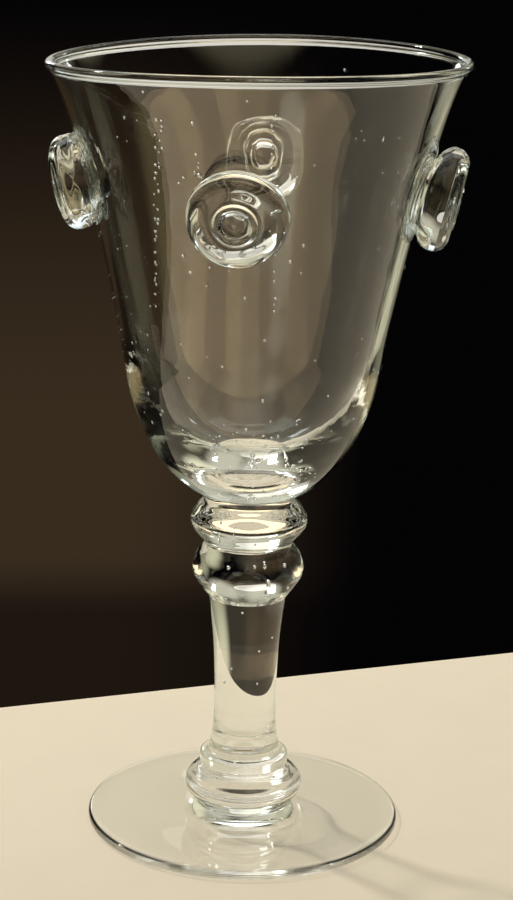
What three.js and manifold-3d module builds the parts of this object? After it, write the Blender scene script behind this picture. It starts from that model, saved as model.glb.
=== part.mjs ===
// Stemmed water goblet of clear hand-worked glass: foot, knopped stem, flared bowl and four stamped prunts.
// Millimetres. +Z is up and the origin is the centre of the foot's underside.
// The prunts stand on -Y (front), +X (right), +Y (back) and -X (left).

import * as THREE from 'three';
import { mergeVertices } from 'three/addons/utils/BufferGeometryUtils.js';
import Module from 'manifold-3d';

const wasm = await Module();
wasm.setup();

// Heights of the stacked pieces, from the table up. Each piece stands on the one before it.
const footHeight = 4.6;
const baseKnopHeight = 10.0;
const baseCollarHeight = 3.1;
const stemLength = 40.7;
const lowerKnopHeight = 13.5;
const upperKnopHeight = 11.4;
const bowlHeight = 106.7;

// Joints between the stacked pieces, where the glass narrows to a crease
const footNeckDiameter = 22.7;
const collarSeatDiameter = 21.4;
const stemFootDiameter = 18.8;
const stemHeadDiameter = 19.1;
const knopJointDiameter = 21.4;
const bowlNeckDiameter = 21.3;

// Foot: a thin flat disc with a soft edge, rising in a small fillet to its neck
const footDiameter = 77.6;
const footEdgeThickness = 2.0;
const footEdgeRound = 0.6;
const footFilletDiameter = 32.0;
const footFilletStartHeight = 2.6;

// Knops, collar and stem
const baseKnopDiameter = 29.2;
const baseCollarDiameter = 21.9;
const baseCollarRound = 0.9;
const stemWaistDiameter = 15.3;
const stemFlareLength = 5.6;
const lowerKnopDiameter = 27.2;
const upperKnopDiameter = 28.5;

// Bowl: a short neck, a round base, a slightly flared wall and a fire-polished lip
const rimDiameter = 98.9;
const lipDiameter = 2.0;
const lipLean = THREE.MathUtils.degToRad(28);
const bowlNeckHeight = 1.1;
const bowlTurnDiameter = 63.2;
const bowlTurnHeight = 38.7;
const wallThickness = 2.4;
const floorThickness = 8.5;

// Prunts: round buttons of glass set on the wall, each stamped with a raised ring round a dimple.
// Each was dropped on by hand, so they differ a little in their turn about the axis, as shares of a
// full turn from the front, and in their height and size, as shares of the usual ones below.
const pruntTurnShares = { prunt_front: 0, prunt_right: 1 / 4, prunt_back: 183 / 360, prunt_left: 3 / 4 };
const pruntHeightShares = { prunt_front: 1, prunt_right: 0.99, prunt_back: 1, prunt_left: 1 };
const pruntSizeShares = { prunt_front: 1, prunt_right: 1.09, prunt_back: 0.96, prunt_left: 1 };
const pruntDiameter = 22.4;
const pruntHeight = 76.3;
const pruntSeatDiameter = 17.4;
const pruntCreviceHeight = 0.9;
const pruntWidestHeight = 3.8;
const pruntThickness = 7.3;
const pruntFaceDiameter = 14.4;
const pruntRingDiameter = 10.2;
const pruntRingRise = 1.0;
const pruntDimpleDepth = 1.3;
const pruntGap = 0.3;
const pruntRootDepth = 2.4;

// How finely the round forms are faceted
const bowlSides = 48;
const stackSides = 40;
const pruntSides = 28;
const pruntSteps = 4;
const curveSteps = 9;
const wallSteps = 7;
const lipSteps = 3;
const seatHalvings = 30;

// Levels of the joints above the table
const baseKnopLevel = footHeight;
const baseCollarLevel = baseKnopLevel + baseKnopHeight;
const stemLevel = baseCollarLevel + baseCollarHeight;
const lowerKnopLevel = stemLevel + stemLength;
const upperKnopLevel = lowerKnopLevel + lowerKnopHeight;
const bowlLevel = upperKnopLevel + upperKnopHeight;
const rimLevel = bowlLevel + bowlHeight;

function glass(color, roughness) {
  return new THREE.MeshStandardMaterial({ color, roughness, metalness: 0, transparent: true, opacity: 0.35 });
}

const bowlGlass = glass(0xe4eeea, 0.03);
const stemGlass = glass(0xdbe8e3, 0.04);
const footGlass = glass(0xdde9e4, 0.05);
const pruntGlass = glass(0xd8e8e6, 0.04);

// An outline point: radius from the axis and height above the table
function at(radius, level) {
  return new THREE.Vector2(radius, level);
}

// A lathe about +Z whose outline starts and ends on the axis, as one closed body
function turned(outline, sides) {
  const geometry = new THREE.LatheGeometry(outline, sides);
  geometry.rotateX(Math.PI / 2);
  return closed(geometry);
}

// The same shape with its vertices shared, so that its seam and poles are shut
function closed(geometry) {
  geometry.deleteAttribute('normal');
  geometry.deleteAttribute('uv');
  return mergeVertices(geometry);
}

// The solid piece between two levels whose side passes through points given as
// [share of the way from the joint's radius to the widest or narrowest radius, share of the height]
function ringOutline(base, height, lowerRadius, middleRadius, upperRadius, shares) {
  const middle = shares.map(([radiusShare, heightShare]) => {
    const jointRadius = THREE.MathUtils.lerp(lowerRadius, upperRadius, heightShare);
    return at(THREE.MathUtils.lerp(jointRadius, middleRadius, radiusShare), base + height * heightShare);
  });
  const side = [at(lowerRadius, base), ...middle, at(upperRadius, base + height)];
  return [at(0, base), ...side, at(0, base + height)];
}

// Foot: flat underside, soft edge, nearly flat top and a concave fillet up to the neck
function makeFoot() {
  const radius = footDiameter / 2;
  const neck = footNeckDiameter / 2;
  const filletRadius = footFilletDiameter / 2;
  const fillet = new THREE.QuadraticBezierCurve(
    at(filletRadius, footFilletStartHeight),
    at(neck, footFilletStartHeight),
    at(neck, footHeight),
  );
  const outline = [
    at(0, 0),
    at(radius - footEdgeRound, 0),
    at(radius, footEdgeRound),
    at(radius, footEdgeThickness - footEdgeRound),
    at(radius - footEdgeRound, footEdgeThickness),
    ...fillet.getPoints(curveSteps),
    at(0, footHeight),
  ];
  return turned(outline, bowlSides);
}

// Base knop: the widest ring of the stem, a rounded band with a deeper undercut than shoulder
function makeBaseKnop() {
  const sideShares = [[0.30, 0.10], [0.80, 0.29], [1, 0.50], [0.96, 0.66], [0.72, 0.83], [0.35, 0.95]];
  const outline = ringOutline(
    baseKnopLevel, baseKnopHeight,
    footNeckDiameter / 2, baseKnopDiameter / 2, collarSeatDiameter / 2, sideShares,
  );
  return turned(outline, stackSides);
}

// Base collar: a small upright band between the base knop and the stem
function makeBaseCollar() {
  const radius = baseCollarDiameter / 2;
  const round = Math.min(baseCollarRound, baseCollarHeight / 2);
  const top = baseCollarLevel + baseCollarHeight;
  const outline = [
    at(0, baseCollarLevel),
    at(collarSeatDiameter / 2, baseCollarLevel),
    at(radius, baseCollarLevel + round / 2),
    at(radius, top - round),
    at(THREE.MathUtils.lerp(radius, stemFootDiameter / 2, 1 / 3), top - round / 3),
    at(stemFootDiameter / 2, top),
    at(0, top),
  ];
  return turned(outline, stackSides);
}

// Stem: a solid waisted rod that flares a little at its foot and widens towards its head
function makeStem() {
  const footRadius = stemFootDiameter / 2;
  const waistRadius = stemWaistDiameter / 2;
  const headRadius = stemHeadDiameter / 2;
  const waistLevel = stemLevel + stemLength / 3;
  const flare = new THREE.CubicBezierCurve(
    at(footRadius, stemLevel),
    at(waistRadius, stemLevel + stemFlareLength / 2),
    at(waistRadius, waistLevel - stemFlareLength / 2),
    at(waistRadius, waistLevel),
  );
  const neck = new THREE.CubicBezierCurve(
    at(waistRadius, waistLevel),
    at(waistRadius, waistLevel + stemLength / 3),
    at(THREE.MathUtils.lerp(waistRadius, headRadius, 1 / 2), lowerKnopLevel - stemLength / 6),
    at(headRadius, lowerKnopLevel),
  );
  const side = [...flare.getPoints(curveSteps), ...neck.getPoints(wallSteps).slice(1)];
  return turned([at(0, stemLevel), ...side, at(0, lowerKnopLevel)], stackSides);
}

// Lower knop: a shoulder over a long taper into the stem
function makeLowerKnop() {
  const sideShares = [[0.16, 0.07], [0.57, 0.24], [0.91, 0.40], [1, 0.53], [0.88, 0.70], [0.50, 0.86], [0.12, 0.96]];
  const outline = ringOutline(
    lowerKnopLevel, lowerKnopHeight,
    stemHeadDiameter / 2, lowerKnopDiameter / 2, knopJointDiameter / 2, sideShares,
  );
  return turned(outline, stackSides);
}

// Upper knop: a double bevel with a rounded belt, pinched closer below than above
function makeUpperKnop() {
  const sideShares = [[0.20, 0.10], [0.66, 0.24], [0.93, 0.38], [1, 0.50], [0.98, 0.58], [0.75, 0.70], [0.40, 0.83]];
  const outline = ringOutline(
    upperKnopLevel, upperKnopHeight,
    knopJointDiameter / 2, upperKnopDiameter / 2, bowlNeckDiameter / 2, sideShares,
  );
  return turned(outline, stackSides);
}

// The curve between two points whose handles are given as shares of the way across and up
function curveBetween(start, end, startShares, endShares) {
  const handle = ([acrossShare, upShare]) => at(
    THREE.MathUtils.lerp(start.x, end.x, acrossShare),
    THREE.MathUtils.lerp(start.y, end.y, upShare),
  );
  return new THREE.CubicBezierCurve(start, handle(startShares), handle(endShares), end);
}

const lipRadius = lipDiameter / 2;
const lipCentre = at(rimDiameter / 2 - lipRadius, rimLevel - lipRadius);
const turnPoint = at(bowlTurnDiameter / 2, bowlLevel + bowlTurnHeight);
const lipOuterEnd = at(
  lipCentre.x + lipRadius * Math.cos(lipLean),
  lipCentre.y - lipRadius * Math.sin(lipLean),
);
const lipInnerEnd = at(
  lipCentre.x - lipRadius * Math.cos(lipLean),
  lipCentre.y + lipRadius * Math.sin(lipLean),
);
const wallHandleShares = [[0.36, 0.45], [0.71, 0.85]];
const wallCurve = curveBetween(turnPoint, lipOuterEnd, ...wallHandleShares);

// The bowl's outside, from its neck up to the lip
function bowlOutside() {
  const baseHandleShares = [[0.37, 0.075], [0.85, 0.335]];
  const neckTop = at(bowlNeckDiameter / 2, bowlLevel + bowlNeckHeight);
  const baseCurve = curveBetween(neckTop, turnPoint, ...baseHandleShares);
  return [
    at(bowlNeckDiameter / 2, bowlLevel),
    ...baseCurve.getPoints(curveSteps),
    ...wallCurve.getPoints(wallSteps).slice(1),
  ];
}

// The bowl's inside, from the lip down to the middle of the floor
function bowlInside() {
  const floorHandleShares = [[0.55, 0], [0.87, 0.40]];
  const floorCentre = at(0, bowlLevel + floorThickness);
  const innerTurn = at(turnPoint.x - wallThickness, turnPoint.y);
  const floorCurve = curveBetween(floorCentre, innerTurn, ...floorHandleShares);
  const innerWall = curveBetween(innerTurn, lipInnerEnd, ...wallHandleShares);
  return [
    ...innerWall.getPoints(wallSteps).reverse(),
    ...floorCurve.getPoints(curveSteps).reverse().slice(1),
  ];
}

// The lip's round top, from the outside over its highest point to the inside
function lipArc() {
  const crown = Math.PI / 2;
  const points = [];
  for (let step = 1; step < 2 * lipSteps; step += 1) {
    const share = step / lipSteps;
    const angle = share < 1
      ? THREE.MathUtils.lerp(-lipLean, crown, share)
      : THREE.MathUtils.lerp(crown, Math.PI - lipLean, share - 1);
    points.push(at(lipCentre.x + lipRadius * Math.cos(angle), lipCentre.y + lipRadius * Math.sin(angle)));
  }
  return points;
}

// Bowl: one blown shell, thick at its floor and thin at its lip
function makeBowl() {
  const outline = [at(0, bowlLevel), ...bowlOutside(), ...lipArc(), ...bowlInside()];
  return turned(outline, bowlSides);
}

function toManifold(geometry) {
  const vertProperties = new Float32Array(geometry.getAttribute('position').array);
  const triVerts = new Uint32Array(geometry.getIndex().array);
  return new wasm.Manifold(new wasm.Mesh({ numProp: 3, vertProperties, triVerts }));
}

function fromManifold(solid) {
  const { vertProperties, triVerts } = solid.getMesh();
  const geometry = new THREE.BufferGeometry();
  geometry.setAttribute('position', new THREE.BufferAttribute(vertProperties, 3));
  geometry.setIndex(new THREE.BufferAttribute(triVerts, 1));
  return geometry;
}

// The space that the bowl's outside fills, grown by the gap that the prunts keep from it
function makeBowlClearance() {
  const grown = bowlOutside().map((point) => at(point.x + pruntGap, point.y));
  const top = grown[grown.length - 1].y;
  return turned([at(0, bowlLevel), ...grown, at(0, top)], bowlSides);
}

// Where a prunt's axis meets the wall: the point on the wall curve at this level
function wallSeat(level) {
  let low = 0;
  let high = 1;
  for (let halving = 0; halving < seatHalvings; halving += 1) {
    const middle = (low + high) / 2;
    if (wallCurve.getPoint(middle).y < level) {
      low = middle;
    } else {
      high = middle;
    }
  }
  return { point: wallCurve.getPoint(low), tangent: wallCurve.getTangent(low) };
}

// A prunt along +Z from the wall: root, round underside, round shoulder, stamped ring and dimple
function makePruntBlank() {
  const discRadius = pruntDiameter / 2;
  const seatRadius = pruntSeatDiameter / 2;
  const ringRadius = pruntRingDiameter / 2;
  const ringTop = pruntThickness + pruntRingRise;
  const ringShares = [[1, 0], [0.93, 0.7], [0.85, 1]];
  const dimpleShares = [[0.74, 0.35], [0.5, 1], [0, 1]];
  const underside = new THREE.QuadraticBezierCurve(
    at(seatRadius, 0),
    at(discRadius, pruntCreviceHeight),
    at(discRadius, pruntWidestHeight),
  );
  const shoulder = new THREE.QuadraticBezierCurve(
    at(discRadius, pruntWidestHeight),
    at(discRadius, pruntThickness),
    at(pruntFaceDiameter / 2, pruntThickness),
  );
  const ring = ringShares.map(([radiusShare, riseShare]) => at(
    ringRadius * radiusShare,
    pruntThickness + pruntRingRise * riseShare,
  ));
  const dimple = dimpleShares.map(([radiusShare, depthShare]) => at(
    ringRadius * radiusShare,
    ringTop - pruntDimpleDepth * depthShare,
  ));
  const outline = [
    at(0, -pruntRootDepth),
    at(seatRadius, -pruntRootDepth),
    ...underside.getPoints(pruntSteps),
    ...shoulder.getPoints(pruntSteps).slice(1),
    ...ring,
    ...dimple,
  ];
  return turned(outline, pruntSides);
}

// A prunt of its own size seated on the wall at its own side, its root trimmed to the wall's curve
function makePrunt(name, blank, clearance) {
  const { point, tangent } = wallSeat(bowlLevel + pruntHeight * pruntHeightShares[name]);
  const wallLean = Math.atan2(tangent.x, tangent.y);
  const sizeShare = pruntSizeShares[name];
  const front = -Math.PI / 2;
  const seated = blank.clone();
  seated.scale(sizeShare, sizeShare, sizeShare);
  seated.rotateY(Math.PI / 2 + wallLean);
  seated.translate(point.x, 0, point.y);
  seated.rotateZ(front + THREE.MathUtils.lerp(0, 2 * Math.PI, pruntTurnShares[name]));
  return fromManifold(toManifold(seated).subtract(clearance));
}

function named(name, geometry, material) {
  const mesh = new THREE.Mesh(geometry, material);
  mesh.name = name;
  return mesh;
}

const goblet = new THREE.Group();
goblet.add(named('foot', makeFoot(), footGlass));
goblet.add(named('base_knop', makeBaseKnop(), stemGlass));
goblet.add(named('base_collar', makeBaseCollar(), stemGlass));
goblet.add(named('stem', makeStem(), stemGlass));
goblet.add(named('lower_knop', makeLowerKnop(), stemGlass));
goblet.add(named('upper_knop', makeUpperKnop(), stemGlass));
goblet.add(named('bowl', makeBowl(), bowlGlass));

const pruntBlank = makePruntBlank();
const bowlClearance = toManifold(makeBowlClearance());
Object.keys(pruntTurnShares).forEach((name) => {
  goblet.add(named(name, makePrunt(name, pruntBlank, bowlClearance), pruntGlass));
});

export default goblet;
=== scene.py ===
# %% [markdown]
# # A stemmed water goblet of clear, hand-worked glass
# A glassmaker builds such a goblet hot, one gather of glass after another: a blown bowl, two knops,
# a solid stem, a collar and a ring on a thin foot, and four stamped discs, called prunts, on the wall.
# Here each gather is a piece of its own, made by turning an outline, as glass is turned on its iron.
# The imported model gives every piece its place, so the pieces are made round it and nothing is moved.

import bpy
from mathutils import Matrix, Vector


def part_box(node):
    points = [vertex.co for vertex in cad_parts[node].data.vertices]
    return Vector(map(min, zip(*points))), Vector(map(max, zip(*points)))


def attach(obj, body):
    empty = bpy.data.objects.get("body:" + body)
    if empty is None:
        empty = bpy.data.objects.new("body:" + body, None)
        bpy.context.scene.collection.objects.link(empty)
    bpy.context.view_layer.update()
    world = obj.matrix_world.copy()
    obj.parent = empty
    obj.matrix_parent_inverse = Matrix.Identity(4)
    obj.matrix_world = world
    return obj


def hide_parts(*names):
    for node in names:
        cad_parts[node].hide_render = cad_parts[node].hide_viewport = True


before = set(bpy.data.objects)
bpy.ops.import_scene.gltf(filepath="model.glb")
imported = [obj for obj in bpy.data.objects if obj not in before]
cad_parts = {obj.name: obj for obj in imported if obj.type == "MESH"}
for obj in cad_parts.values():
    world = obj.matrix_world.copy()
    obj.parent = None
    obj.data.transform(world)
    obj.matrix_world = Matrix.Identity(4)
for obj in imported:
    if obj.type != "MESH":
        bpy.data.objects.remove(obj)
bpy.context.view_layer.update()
print("nodes:", ", ".join(sorted(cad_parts)))

# %% [markdown]
# ## Sizes
# A scene is in metres, and a glass is measured in millimetres, so lengths are written as a number of
# millimetres times MM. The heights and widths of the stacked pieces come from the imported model.

# %% Millimetres, and where the pieces stand
import math
import random

import bmesh
import bpy
from mathutils import Matrix, Vector, noise
from mathutils.bvhtree import BVHTree
from mathutils.geometry import interpolate_bezier

MM = 0.001
TINY = 0.002 * MM


def levels(node):
    """The lowest and highest level of a node, and its widest radius."""
    low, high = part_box(node)
    return low.z, high.z, (high.y - low.y) / 2


foot_base, foot_top, foot_radius = levels("foot")
bowl_base, rim_level, rim_radius = levels("bowl")
print(f"goblet {rim_level / MM:.1f} mm high, rim {2 * rim_radius / MM:.1f} mm wide,",
      f"foot {2 * foot_radius / MM:.1f} mm wide")

# %% [markdown]
# ## The view
# The photograph looks down on the goblet from a little above its rim, at arm's length. The two
# ellipses of the rim and the foot fix where the camera stood, so its place is written as measured.
# The front prunt faces a little to the left of the camera, which is the camera's turn about the glass.

# %% Camera
PHOTO_HEIGHT_PIXELS = 900
FOCAL_LENGTH_PIXELS = 2298.9
SENSOR_WIDTH = 36.0
CAMERA_DISTANCE = 535 * MM
CAMERA_HEIGHT = 244 * MM
CAMERA_TURN = math.radians(5.4)
CAMERA_PITCH = math.radians(15.55)
CAMERA_PAN = math.radians(0.15)
CAMERA_ROLL = math.radians(1.364)
UP = Vector((0, 0, 1))


def make_camera():
    """A camera at the photograph's place, with its lens and its slight roll."""
    turn = Matrix.Rotation(CAMERA_TURN, 3, "Z")
    sight = turn @ Vector((
        math.sin(CAMERA_PAN) * math.cos(CAMERA_PITCH),
        math.cos(CAMERA_PAN) * math.cos(CAMERA_PITCH),
        -math.sin(CAMERA_PITCH),
    ))
    level_right = sight.cross(UP).normalized()
    level_up = level_right.cross(sight)
    right = math.cos(CAMERA_ROLL) * level_right + math.sin(CAMERA_ROLL) * level_up
    axes = Matrix((right, right.cross(sight), -sight)).transposed()
    data = bpy.data.cameras.new("photo_view")
    data.sensor_width = SENSOR_WIDTH
    data.lens = FOCAL_LENGTH_PIXELS * SENSOR_WIDTH / PHOTO_HEIGHT_PIXELS
    data.clip_start = 10 * MM
    camera = bpy.data.objects.new("photo_view", data)
    place = turn @ Vector((0, -CAMERA_DISTANCE, CAMERA_HEIGHT))
    camera.matrix_world = Matrix.Translation(place) @ axes.to_4x4()
    bpy.context.scene.collection.objects.link(camera)
    bpy.context.scene.camera = camera
    return camera


camera = make_camera()
print("camera at", [round(value / MM) for value in camera.matrix_world.translation], "mm")

# %% [markdown]
# ## Light paths
# Light in glass bends, splits and bounces many times before it comes out. Too few bounces leave
# black patches in a thick knop, so the path lengths are raised. The colours stay as written.

# %% Bounces and colour
scene = bpy.context.scene
scene.view_settings.view_transform = "Standard"
scene.cycles.max_bounces = 28
scene.cycles.transmission_bounces = 28
scene.cycles.glossy_bounces = 16
scene.cycles.transparent_max_bounces = 48
print("bounces:", scene.cycles.max_bounces)

# %% [markdown]
# ## Floor
# The goblet stands on a pale sunlit surface that ends behind it, and past that edge there is only the
# dark of a room. A white backdrop would make clear glass nearly vanish. So the floor is a plain pale
# sheet that reaches far in front of the glass, which mirrors it, and ends a hand's breadth behind it,
# on a slant. A bare plane would do, but its back edge is in view, so it is a thin bevelled box.

# %% Helpers for material nodes
def add_node(tree, kind, **settings):
    """A new node in a tree, with its settings and its unlinked inputs set by name or number."""
    node = tree.nodes.new(kind)
    inputs = settings.pop("inputs", {})
    for name, value in settings.items():
        setattr(node, name, value)
    for name, value in inputs.items():
        node.inputs[name].default_value = value
    return node


def mix(tree, share, one, other):
    """One colour where the share is 0, and the other where it is 1."""
    node = add_node(tree, "ShaderNodeMix", data_type="RGBA", inputs={"A": one, "B": other})
    tree.links.new(share, node.inputs["Factor"])
    return node.outputs["Result"]


# %% Floor finish
FLOOR_COLOUR = (0.86, 0.76, 0.59)
MOTTLE_SCALE = 60
MOTTLE_SHADE = 0.94


def make_floor_finish():
    """A pale matt cream with a slight mottle."""
    finish = bpy.data.materials.new("pale_floor")
    finish.use_nodes = True
    tree = finish.node_tree
    shader = tree.nodes["Principled BSDF"]
    shader.inputs["Roughness"].default_value = 0.85
    shader.inputs["Specular IOR Level"].default_value = 0.15
    darker = [MOTTLE_SHADE * value for value in FLOOR_COLOUR]
    place = add_node(tree, "ShaderNodeTexCoord")
    mottle = add_node(tree, "ShaderNodeTexNoise", inputs={"Scale": MOTTLE_SCALE, "Detail": 3})
    tree.links.new(place.outputs["Object"], mottle.inputs["Vector"])
    shade = mix(tree, mottle.outputs["Fac"], (*FLOOR_COLOUR, 1), (*darker, 1))
    tree.links.new(shade, shader.inputs["Base Color"])
    return finish


floor_finish = make_floor_finish()
print("floor finish:", floor_finish.name)

# %% Floor
FLOOR_GAP = 0.05 * MM
FLOOR_LEFT = -235 * MM
FLOOR_RIGHT = 450 * MM
FLOOR_FRONT = -520 * MM
FLOOR_BACK = 96.6 * MM
FLOOR_SLANT = math.radians(25.1)
FLOOR_ROUND = 3 * MM


def make_floor():
    """A thin flat sheet just under the foot, with a slanting back and a round edge."""
    size = Vector((FLOOR_RIGHT - FLOOR_LEFT, FLOOR_BACK - FLOOR_FRONT, 2 * FLOOR_ROUND))
    middle = Vector((FLOOR_RIGHT + FLOOR_LEFT, FLOOR_BACK + FLOOR_FRONT, 0)) / 2
    middle.z = foot_base - FLOOR_GAP - FLOOR_ROUND
    place = Matrix.Translation(middle) @ Matrix.Diagonal((*size, 1))
    sheet = bmesh.new()
    bmesh.ops.create_cube(sheet, size=1, matrix=place)
    for corner in sheet.verts:
        if corner.co.y > middle.y:
            corner.co.y += corner.co.x * math.tan(FLOOR_SLANT)
    bmesh.ops.bevel(sheet, geom=sheet.edges[:], offset=FLOOR_ROUND * 0.8, offset_type="OFFSET",
                    affect="EDGES", segments=4, profile=0.5, material=-1)
    mesh = bpy.data.meshes.new("floor")
    sheet.to_mesh(mesh)
    sheet.free()
    floor = bpy.data.objects.new("floor", mesh)
    mesh.materials.append(floor_finish)
    bpy.context.scene.collection.objects.link(floor)
    return floor


floor = make_floor()
print("floor:", floor.name)

# %% [markdown]
# ## Dark room with soft glows
# Clear glass has no look of its own: it shows what stands round it. In a black room it would be
# black, with a few lamps in it. So the glass sees some soft round glows in place of the windows, walls
# and ceiling of a real room. Each is full within one angle from its direction and ends at another.
# They are added up in the world's colour. The camera sees only the dark, which is brown to the lower
# left, and the floor gets an even fill instead of the glows, so that they leave no stains on it.

# %% Directions round the goblet
def direction(azimuth, elevation):
    """A unit vector away from the goblet: azimuth 0 is the front, and it turns to the right."""
    around = math.radians(azimuth)
    rise = math.radians(elevation)
    level = math.cos(rise)
    return Vector((math.sin(around) * level, -math.cos(around) * level, math.sin(rise)))


print("azimuth 90 points to", [round(value) for value in direction(90, 0)])


# %% Helpers for ramps, products and mixed shaders
def ramp(tree, value, start, end, least=0):
    """The least up to the start, 1 from the end on, and a soft change between them."""
    share = add_node(tree, "ShaderNodeMapRange", interpolation_type="SMOOTHSTEP", inputs={
        "From Min": start, "From Max": end, "To Min": least})
    tree.links.new(value, share.inputs["Value"])
    return share.outputs["Result"]


def product(tree, one, other):
    """Two values multiplied."""
    node = add_node(tree, "ShaderNodeMath", operation="MULTIPLY")
    tree.links.new(one, node.inputs[0])
    tree.links.new(other, node.inputs[1])
    return node.outputs[0]


def blend(tree, factor, one, other):
    """One shader where the factor is 0, and the other where it is 1."""
    node = add_node(tree, "ShaderNodeMixShader")
    tree.links.new(factor, node.inputs["Fac"])
    tree.links.new(one, node.inputs[1])
    tree.links.new(other, node.inputs[2])
    return node.outputs[0]


# %% The room behind
LEFT_COLOUR = (0.040, 0.0255, 0.0140, 1)
DARK_COLOUR = (0.0012, 0.0011, 0.0014, 1)
BROWN_ACROSS = (-0.035, -0.15)
BROWN_DOWN = (-0.07, -0.27)
BROWN_FOOT = (-0.338, -0.310, 0.3)


def room_colour(tree, out):
    """Dark, and brown to the lower left, where it fades again close above the floor's edge."""
    parts = add_node(tree, "ShaderNodeSeparateXYZ")
    tree.links.new(out, parts.inputs[0])
    across = ramp(tree, parts.outputs["X"], *BROWN_ACROSS)
    down = ramp(tree, parts.outputs["Z"], *BROWN_DOWN)
    above_floor = ramp(tree, parts.outputs["Z"], *BROWN_FOOT)
    brown = product(tree, product(tree, across, down), above_floor)
    return mix(tree, brown, DARK_COLOUR, LEFT_COLOUR)


# %% Soft glows: azimuth, elevation, the angles where they are full and where they end, and colour
GLOWS = {
    "overhead": (180, 90, 12, 26, (0.85, 0.78, 0.68)),
    "front_high": (15, 58, 14, 32, (0.68, 0.60, 0.38)),
    "front_low": (-4, -8, 14, 42, (0.34, 0.26, 0.13)),
    "behind_right": (151, -19, 2, 15, (0.60, 0.56, 0.38)),
    "front_window": (-18, 18, 4, 12, (1.25, 1.20, 0.95)),
    "right_low": (82, -14, 8, 22, (0.85, 0.85, 0.58)),
    "right_back_low": (134, -2, 6, 18, (0.34, 0.33, 0.21)),
    "right_back": (136, 36, 6, 20, (0.80, 0.78, 0.54)),
    "left_back": (-137, 44, 8, 24, (0.55, 0.54, 0.38)),
    "back_left_low": (-162, 20, 8, 20, (0.54, 0.52, 0.41)),
    "back_right_low": (164, 20, 8, 20, (0.54, 0.52, 0.41)),
    "left_low": (-60, -38, 8, 20, (0.55, 0.46, 0.20)),
}


def add_glow(tree, out, glow, so_far):
    """The light so far with one soft round glow added to it."""
    azimuth, elevation, full_angle, end_angle, colour = glow
    near = add_node(tree, "ShaderNodeVectorMath", operation="DOT_PRODUCT", inputs={
        1: direction(azimuth, elevation)})
    tree.links.new(out, near.inputs[0])
    share = ramp(tree, near.outputs["Value"], math.cos(math.radians(end_angle)),
                 math.cos(math.radians(full_angle)))
    added = add_node(tree, "ShaderNodeVectorMath", operation="MULTIPLY_ADD", inputs={1: colour})
    tree.links.new(share, added.inputs[0])
    tree.links.new(so_far, added.inputs[2])
    return added.outputs["Vector"]


print("glows:", ", ".join(GLOWS))

# %% World
FILL_COLOUR = (0.97, 0.97, 1.0, 1)
FILL_STRENGTH = 0.16


def make_air():
    """The room for the camera, the room with its glows for the glass, and an even fill for the floor."""
    world = bpy.data.worlds.new("studio_air")
    world.use_nodes = True
    tree = world.node_tree
    room = tree.nodes["Background"]
    glowing = add_node(tree, "ShaderNodeBackground")
    fill = add_node(tree, "ShaderNodeBackground", inputs={
        "Color": FILL_COLOUR, "Strength": FILL_STRENGTH})
    out = add_node(tree, "ShaderNodeTexCoord").outputs["Generated"]
    path = add_node(tree, "ShaderNodeLightPath")
    light = room_colour(tree, out)
    tree.links.new(light, room.inputs["Color"])
    for glow in GLOWS.values():
        light = add_glow(tree, out, glow, light)
    tree.links.new(light, glowing.inputs["Color"])
    seen = blend(tree, path.outputs["Is Camera Ray"], glowing.outputs[0], room.outputs[0])
    all_rays = blend(tree, path.outputs["Is Diffuse Ray"], seen, fill.outputs[0])
    tree.links.new(all_rays, tree.nodes["World Output"].inputs["Surface"])
    bpy.context.scene.world = world
    return world


air = make_air()
print("world:", air.name)

# %% [markdown]
# ## Lamps
# A wide soft lamp above and behind the glass lights the lip, the tops of the knops and the prunts'
# upper edges. Three weak ones lower down behind draw the bright lines of the lip and the white patches
# in the thick base and the knops. A round one to the left, further off, stands for the sun: it casts
# the shadow and puts a small bright spot on each round form. In front, a row of brown panels of light
# lies on the floor and shines up, where the bowl's wall mirrors it: that is the broad tan light in the
# photograph's bowl, and the panels differ in brightness to give it upright streaks. The camera sees no
# lamp. Their sum with the fill is plain: the floor comes out about as its colour is written.

# %% Soft lamps
def make_lamp(name, azimuth, elevation, distance, size, power, colour, shape="RECTANGLE"):
    """A soft lamp that faces the middle of the goblet from a direction and a distance."""
    data = bpy.data.lights.new(name, "AREA")
    data.shape = shape
    data.size, data.size_y = size
    data.energy = power
    data.color = colour
    lamp = bpy.data.objects.new(name, data)
    out = direction(azimuth, elevation)
    place = Vector((0, 0, rim_level / 2)) + out * distance
    turn = out.to_track_quat("Z", "Y").to_matrix().to_4x4()
    lamp.matrix_world = Matrix.Translation(place) @ turn
    lamp.visible_camera = False
    bpy.context.scene.collection.objects.link(lamp)
    return lamp


WARM = (1.0, 0.95, 0.86)
DAY = (0.93, 0.99, 1.0)
lamps = [
    make_lamp("back_top_soft", 187, 59, 1000 * MM, (1150 * MM, 460 * MM), 2.4, DAY),
    make_lamp("back_strip", -168, 8, 1000 * MM, (600 * MM, 250 * MM), 0.25, WARM, "ELLIPSE"),
    make_lamp("back_window", -155, 14, 1000 * MM, (130 * MM, 150 * MM), 0.26, DAY),
    make_lamp("back_spark", 155, 16, 1000 * MM, (70 * MM, 70 * MM), 0.07, DAY),
    make_lamp("sun_soft", -128, 41, 2400 * MM, (170 * MM, 170 * MM), 50, WARM, "DISK"),
]
print("lamps:", ", ".join(lamp.name for lamp in lamps))

# %% Brown panels in front: their sides in mm, and their brightness
PANEL_LENGTH = 156 * MM
PANEL_MIDDLE = -182 * MM
PANEL_POWER = 3.6
PANEL_COLOUR = (1.0, 0.73, 0.40)
PANELS = [(-232, -178, 1.05), (-178, -122, 1.45), (-122, -60, 0.9), (-60, -18, 1.4), (-18, 36, 1.0),
          (36, 112, 0.66), (112, 164, 1.05), (164, 232, 0.75)]


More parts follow.
